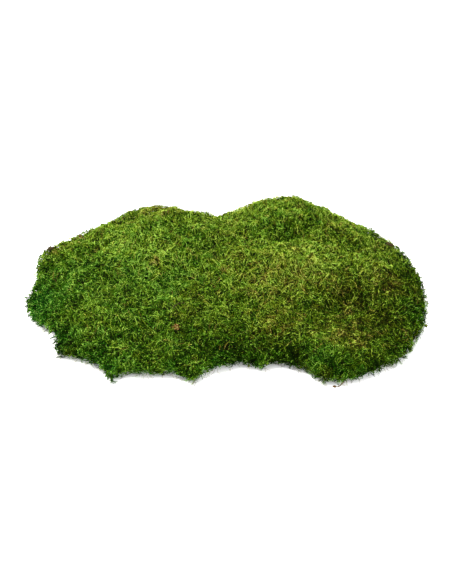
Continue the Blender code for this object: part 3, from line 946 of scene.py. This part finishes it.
def sweepTubes(paths, radii, sides, tint, tints):
    # points = path + radius (cos a * across + sin a * over), a round the path, with a flat cap at each end
    count, steps, _ = paths.shape
    forward = unit(np.gradient(paths, axis=1))
    across = unit(np.cross(forward, upward + 0.013))
    over = np.cross(forward, across)
    turn = np.linspace(0, math.tau, sides, endpoint=False)
    ring = across[:, :, None] * np.cos(turn)[:, None] + over[:, :, None] * np.sin(turn)[:, None]
    points = paths[:, :, None] + radii[..., None, None] * ring
    start = np.arange(count)[:, None, None] * steps * sides
    step, side = np.arange(steps - 1)[:, None], np.arange(sides)
    a, b = step * sides + side, step * sides + (side + 1) % sides
    walls = np.stack([a, b, b + sides, a, b + sides, a + sides], -1).reshape(1, -1, 3) + start
    fan = np.arange(1, sides - 1)
    near = np.stack([0 * fan, fan + 1, fan], -1)
    far = np.stack([0 * fan, fan, fan + 1], -1) + (steps - 1) * sides
    caps = np.concatenate([near, far])[None] + start
    low, high = side / sides, (side + 1) / sides
    v0, v1 = step / (steps - 1) + 0 * low, (step + 1) / (steps - 1) + 0 * low
    u0, u1 = low + 0 * v0, high + 0 * v0
    corners = np.stack([u0, v0, u1, v0, u1, v1, u0, v0, u1, v1, u0, v1], -1).reshape(-1, 3, 2)
    capUv = np.tile([[0.1, 0.1], [0.9, 0.1], [0.5, 0.9]], (2 * len(fan), 1, 1))
    local = np.concatenate([corners, capUv]) * 0.92 + 0.04
    uvs = np.broadcast_to(local, (count, *local.shape)).copy()
    uvs[..., 0] = (tint[:, None, None] + uvs[..., 0]) / tints
    faces = np.concatenate([walls, caps], 1)
    return points.reshape(-1, 3), faces.reshape(-1, 3), uvs.reshape(-1, 3, 2)


def threadPaint():
    # colour by the tube's column of the map, with rings of darker bark and a dry, paler side
    paint = Paint("dry thread", Specular_IOR_Level=0.06)
    flat = paint.add("ShaderNodeUVMap", {"uv_map": "OFBake"})
    u = paint.add("ShaderNodeSeparateXYZ", None, {0: flat})
    column = (u * threadAtlas["tints"]).floor()
    colour = paint.ramp(column / (threadAtlas["tints"] - 1), threadAtlas["stops"])
    grain = paint.noise(paint.stretched(flat, (90.0, 24.0, 1.0)), 1.0, 3.0, 0.6)
    knots = paint.noise(paint.stretched(flat, (12.0, 46.0, 1.0)), 1.0, 2.0)
    colour = paint.blend(grain.between(0.35, 0.7) * 0.5, colour, fromScreen(42, 30, 14))
    colour = paint.blend(knots.between(0.55, 0.7) * 0.3, colour, fromScreen(150, 134, 84))
    return paint.finish(colour, 0.85 - grain * 0.2, paint.bump(grain + knots * 0.5, 0.5, 0.1 * mm))


def curledPaths(start, heading, lengths, curl, steps, draw):
    # a plane curve whose direction turns steadily: direction = heading + curl s, summed over equal steps
    s = np.linspace(0, 1, steps)
    turn = heading[:, None] + curl[:, None] * s + 0.3 * np.sin(math.tau * (s + draw.random((len(start), 1))))
    stride = lengths[:, None] / (steps - 1)
    x = start[:, :1] + np.cumsum(np.cos(turn) * stride, 1)
    y = start[:, 1:2] + np.cumsum(np.sin(turn) * stride, 1)
    return x, y, s


threadSet = {"under": 620, "over": 90, "edge": 220,
             "underRadius": 0.16 * mm, "overRadius": 0.11 * mm, "edgeRadius": 0.12 * mm}


def rootThreads(draw):
    # threads that lie in the felt under the clump, from the mat out to the foot of the rim
    spots, _ = scatter(cushionPoints, cushionFaces, cushionNormals, threadSet["under"] * 3, draw)
    spots = spots[readMap(inwardMap, spots[:, 0], spots[:, 1]) > 4 * mm][:threadSet["under"]]
    count = len(spots)
    x, y, s = curledPaths(spots, draw.uniform(0, math.tau, count), draw.uniform(7 * mm, 20 * mm, count),
                          draw.normal(0, 1.6, count), 8, draw)
    inward = readMap(inwardMap, x, y)
    push = np.clip(3.2 * mm - inward, 0, None)
    x, y = x + push * readMap(inwardSlopeX, x, y), y + push * readMap(inwardSlopeY, x, y)
    lie = draw.uniform(0.3 * mm, 1.3 * mm, (count, 1))
    z = np.maximum(lie + 0.35 * mm * np.sin(math.tau * (1.3 * s + draw.random((count, 1)))), 0.22 * mm)
    radii = threadSet["underRadius"] * draw.uniform(0.6, 1.5, (count, 1)) * (1 - 0.5 * s)
    tint = np.floor(draw.beta(1.4, 2.2, count) * threadAtlas["tints"] * 0.8)
    return sweepTubes(np.stack([x, y, z], -1), radii, 3, tint, threadAtlas["tints"])


def looseFibres(draw):
    # dry fibres that lie on the moss and rise a little at one end
    spots, normals = scatter(cushionPoints, cushionFaces, cushionNormals, threadSet["over"] * 4, draw)
    kept = (normals[:, 2] > 0.45) & (readMap(inwardMap, spots[:, 0], spots[:, 1]) > 5 * mm)
    spots = spots[kept][:threadSet["over"]]
    count = len(spots)
    x, y, s = curledPaths(spots, draw.uniform(0, math.tau, count), draw.uniform(5 * mm, 13 * mm, count),
                          draw.normal(0, 1.8, count), 9, draw)
    dive = 2.2 * mm * np.abs(2 * s - 1) ** 3
    z = np.maximum(readMap(roofMap, x, y) + draw.uniform(-0.6 * mm, 0.7 * mm, (count, 1)) - dive, 0.6 * mm)
    radii = threadSet["overRadius"] * draw.uniform(0.7, 1.3, (count, 1)) * (1 - 0.4 * s)
    tint = np.floor(np.clip(draw.normal(0.62, 0.2, count), 0, 0.99) * threadAtlas["tints"])
    return sweepTubes(np.stack([x, y, z], -1), radii, 4, tint, threadAtlas["tints"])


def edgeFibres(draw):
    # fine fibres that leave the foot of the rim outward and sink to the ground
    spots, _ = scatter(cushionPoints, cushionFaces, cushionNormals, threadSet["edge"] * 50, draw)
    inward = readMap(inwardMap, spots[:, 0], spots[:, 1])
    spots = spots[(inward > 1.0 * mm) & (inward < 3.5 * mm) & (spots[:, 2] > 1.5 * mm)][:threadSet["edge"]]
    count = len(spots)
    outward = np.arctan2(-readMap(inwardSlopeY, *spots.T[:2]), -readMap(inwardSlopeX, *spots.T[:2]))
    x, y, s = curledPaths(spots, outward + draw.normal(0, 0.8, count), draw.gamma(5, 1.2 * mm, count).clip(3 * mm, 12 * mm),
                          draw.normal(0, 1.5, count), 8, draw)
    low = np.minimum(spots[:, 2:], 4 * mm)
    z = np.maximum(low * (1 - s) ** 1.2 + draw.uniform(0.2 * mm, 1.6 * mm, (count, 1)) * s, 0.2 * mm)
    radii = threadSet["edgeRadius"] * draw.uniform(0.7, 1.4, (count, 1)) * (1 - 0.5 * s)
    tint = np.floor(np.clip(draw.normal(0.72, 0.25, count), 0, 0.99) * threadAtlas["tints"])
    return sweepTubes(np.stack([x, y, z], -1), radii, 3, tint, threadAtlas["tints"])


def seedStalks(draw):
    # spore stalks: thin tubes that rise from the rim, and at the end of each a capsule of radius sine of s times its girth
    table = np.array(stalkSet["places"])
    count, s = len(table), np.linspace(0, 1, stalkSet["steps"])
    roots, heading, lengths = table[:, :3] * mm, np.radians(table[:, 3]), table[:, 4] * mm
    x, y, _ = curledPaths(roots, heading, lengths, table[:, 5], stalkSet["steps"], draw)
    z = roots[:, 2:] + table[:, 6:7] * mm * np.sin(s * 2.2)
    path = np.stack([x, y, z], -1)
    stalk = sweepTubes(path, stalkSet["radius"] * np.broadcast_to(1.1 - 0.4 * s, (count, len(s))), 5,
                       np.full(count, 2.0), threadAtlas["tints"])
    away = unit(path[:, -1] - path[:, -3])
    body = path[:, -1:] + away[:, None] * (s[:, None] - 0.12) * stalkSet["capsule"]
    girth = stalkSet["girth"] * np.broadcast_to(np.sin(np.pi * (0.06 + 0.88 * s ** 0.8)), (count, len(s)))
    capsule = sweepTubes(body, girth, 10, np.full(count, 1.0), threadAtlas["tints"])
    return [np.concatenate([stalk[0], capsule[0]]), np.concatenate([stalk[1], capsule[1] + len(stalk[0])]),
            np.concatenate([stalk[2], capsule[2]])]


# x, y and z of the root in mm, heading in degrees, length in mm, turn, rise in mm
stalkSet = {"steps": 12, "radius": 0.42 * mm, "capsule": 3.2 * mm, "girth": 1.05 * mm, "places": [
    (155.0, -40.0, 4.0, -44, 7.0, 0.6, 0.8),
    (92.5, -107.5, 3.5, -120, 8.5, -0.8, -1.0),
    (-120.0, 46.0, 22.0, 120, 6.0, 0.5, 2.0),
    (30.0, 94.0, 12.0, 70, 8.0, 0.7, 2.5),
]}
threadFinish = threadPaint()
points, faces, uvs = seedStalks(draw)
putMesh("sporeStalks", points, faces, threadFinish, (), uvs)
for name, slot, made in (("rootThreads", "soil", rootThreads(draw)), ("looseFibres", "dead_leaf", looseFibres(draw)),
                         ("edgeFibres", "dead_leaf", edgeFibres(draw))):
    points, faces, uvs = made
    putMesh(name, points, faces, threadFinish, (), uvs)


# Litter: a curled leaf flake, two chips of bark and a twig, each in the place and size of its CAD node

def nodeFrame(name):
    # middle, half sizes and three axes of a node, the longest first and the thinnest pointing up
    points, _ = nodeArrays(name)
    middle = (points.max(0) + points.min(0)) / 2
    _, _, axes = np.linalg.svd(points - points.mean(0), full_matrices=False)
    if axes[2, 2] < 0:
        axes[2] = -axes[2]
    axes[1] = np.cross(axes[2], axes[0])
    along = (points - middle) @ axes.T
    return middle + (along.max(0) + along.min(0)) / 2 @ axes, (along.max(0) - along.min(0)) / 2, axes


def raggedReach(half, seed, angles, rough):
    # an oval's radius by angle, with bites and points: 1 + rough * (three sines)
    a = np.linspace(0, math.tau, angles, endpoint=False)
    draw = np.random.default_rng(seed)
    waves = sum(np.sin(k * a + draw.uniform(0, math.tau)) / k ** 0.7 for k in (3, 5, 9, 14))
    oval = 1 / np.sqrt((np.cos(a) / half[0]) ** 2 + (np.sin(a) / half[1]) ** 2)
    return oval * np.clip(0.94 + rough * waves, 0.60, 1.08)


def leafFlake():
    # a thin sheet: z = curl * (x / half) squared + crinkles, 0.25 mm thick and closed at its torn edge
    middle, half, axes = nodeFrame("leaf_flake")
    wanted = {"angles": 72, "rings": 16, "floorRings": 16}
    reach = raggedReach(half, 5, wanted["angles"], 0.17)

    def sheet(x, y, share):
        crinkle = 0.30 * mm * ripple(x, y, 2.4 * mm, 61) + 0.10 * mm * np.abs(y / half[1] - 0.1)
        return half[2] * (2.2 * (y / half[1] + 0.2) ** 2 - 1.2) - 0.9 * half[2] * (x / half[0]) ** 2 + crinkle

    thick = 0.14 * mm
    edge = lambda share: thick * (1 - share ** 8)
    return closedDisc(reach, wanted, lambda x, y, s: sheet(x, y, s) + edge(s),
                      lambda x, y, s: sheet(x, y, s) - edge(s)), middle, axes


def barkChip(name, seed):
    # a splinter: a low dome with ridges along it, z = height * (1 - share to 4) * (1 + ridges)
    middle, half, axes = nodeFrame(name)
    wanted = {"angles": 96, "rings": 22, "floorRings": 12}
    reach = raggedReach(half, seed, wanted["angles"], 0.10)

    def ridges(x, y):
        return 0.16 * ripple(x * 0.22, y, 1.5 * mm, seed) + 0.12 * ripple(x * 0.3, y, 0.7 * mm, seed + 1)

    return closedDisc(reach, wanted,
                      lambda x, y, s: half[2] * (1 - s ** 4) * (0.85 + ridges(x, y)),
                      lambda x, y, s: -half[2] * (1 - s ** 4) * (0.7 + ridges(y, x))), middle, axes


def flakePaint():
    paint = Paint("dead leaf", Specular_IOR_Level=0.06)
    place = paint.place()
    veins = paint.cells(paint.stretched(place, (900.0, 500.0, 500.0)), 1.0, "DISTANCE_TO_EDGE")
    stainAndHighlight = paint.noise(place, 520.0, 4.0, 0.65)
    speck = paint.noise(place, 2600.0, 2.0)
    # the palest tan of the stain is partly a painted highlight
    colour = paint.ramp(stainAndHighlight, [(0.40, fromScreen(30, 20, 8)), (0.50, fromScreen(92, 64, 22)),
                                (0.60, fromScreen(148, 126, 80))])
    colour = paint.blend(veins.between(0.0, 0.09) * -0.45 + 0.45, colour, fromScreen(110, 74, 30))
    colour = paint.blend(speck.between(0.6, 0.75) * 0.5, colour, fromScreen(70, 44, 24))
    height = veins.between(0.0, 0.12) * -0.5 + stainAndHighlight * 0.5
    return paint.finish(colour, 0.75 - stainAndHighlight * 0.15, paint.bump(height, 0.6, 0.2 * mm))


def barkPaint():
    paint = Paint("old bark", Specular_IOR_Level=0.05)
    place = paint.place()
    strip = paint.noise(paint.stretched(place, (420.0, 1500.0, 900.0), (0.0, 0.0, 0.6)), 1.0, 4.0, 0.65, 0.6)
    patch = paint.noise(place, 260.0, 3.0)
    colour = paint.ramp(strip, [(0.30, fromScreen(15, 12, 5)), (0.50, fromScreen(35, 29, 13)),
                                (0.68, fromScreen(57, 48, 24)), (0.82, fromScreen(90, 79, 46))])
    colour = paint.blend(patch.between(0.55, 0.72) * 0.4, colour, fromScreen(52, 58, 26))
    return paint.finish(colour, 0.9 - strip * 0.15, paint.bump(strip, 0.9, 0.4 * mm))


def putLitter(name, made, finish, node):
    (points, faces), middle, axes = made
    putMesh(name, points @ axes + middle, faces, finish, (node,))


def dryTwig():
    # a tube along the node's long axis: bowed by a parabola, thicker at its two knots and broken at both ends
    middle, half, axes = nodeFrame("dry_twig")
    s = np.linspace(-1, 1, 34)
    bow = half[1] * 0.8 * (1 - s ** 2) * 1.5 - half[1] * 0.7
    path = np.stack([s * (half[0] - 0.1 * mm), bow, 0.12 * half[2] * np.sin(5 * s)], -1)
    knots = 0.30 * np.exp(-((s + 0.42) / 0.06) ** 2) + 0.24 * np.exp(-((s - 0.30) / 0.05) ** 2)
    radius = 0.46 * mm * (1 - 0.22 * (s + 1) / 2) * (1 + knots) * (1 - 0.55 * np.abs(s) ** 24)
    points, faces, _ = sweepTubes((path @ axes + middle)[None], radius[None], 12, np.zeros(1), 1)
    return points, faces


barkFinish = barkPaint()
putLitter("leafFlake", leafFlake(), flakePaint(), "leaf_flake")
putLitter("barkChipLeft", barkChip("bark_chip_left", 8), barkFinish, "bark_chip_left")
putLitter("barkChipRight", barkChip("bark_chip_right", 9), barkFinish, "bark_chip_right")
points, faces = dryTwig()
putMesh("dryTwig", points, faces, barkFinish, ("dry_twig",))


# Floor, lamps and camera

def floorPaint():
    paint = Paint("pale floor", Specular_IOR_Level=0.1)
    mottle = paint.noise(paint.place(), 3.0, 2.0)
    red, green, blue = lightSet["floorColour"]
    colour = paint.blend(mottle, (red, green, blue, 1.0), (red * 0.99, green * 0.99, blue * 0.99, 1.0))
    return paint.finish(colour, 0.95 - mottle * 0.05)


def setStage():
    half, drop = lightSet["floorSize"] / 2, lightSet["floorDrop"]
    mesh = bpy.data.meshes.new("floor")
    mesh.from_pydata([(-half, -half, -drop), (half, -half, -drop), (half, half, -drop), (-half, half, -drop)], [],
                     [(0, 1, 2, 3)])
    floor = bpy.data.objects.new("floor", mesh)
    mesh.materials.append(floorPaint())
    bpy.context.scene.collection.objects.link(floor)
    world = bpy.data.worlds.new("studio")
    bpy.context.scene.world = world
    world.use_nodes = True
    sky = world.node_tree.nodes["Background"]
    sky.inputs["Color"].default_value = lightSet["skyColour"] + (1.0,)
    sky.inputs["Strength"].default_value = lightSet["sky"]
    softLamp("key", lightSet["key"])
    softLamp("fill", lightSet["fill"])
    bpy.context.scene.view_settings.view_transform = "Standard"


setStage()
setCamera(cameraSet)
print("stage set")
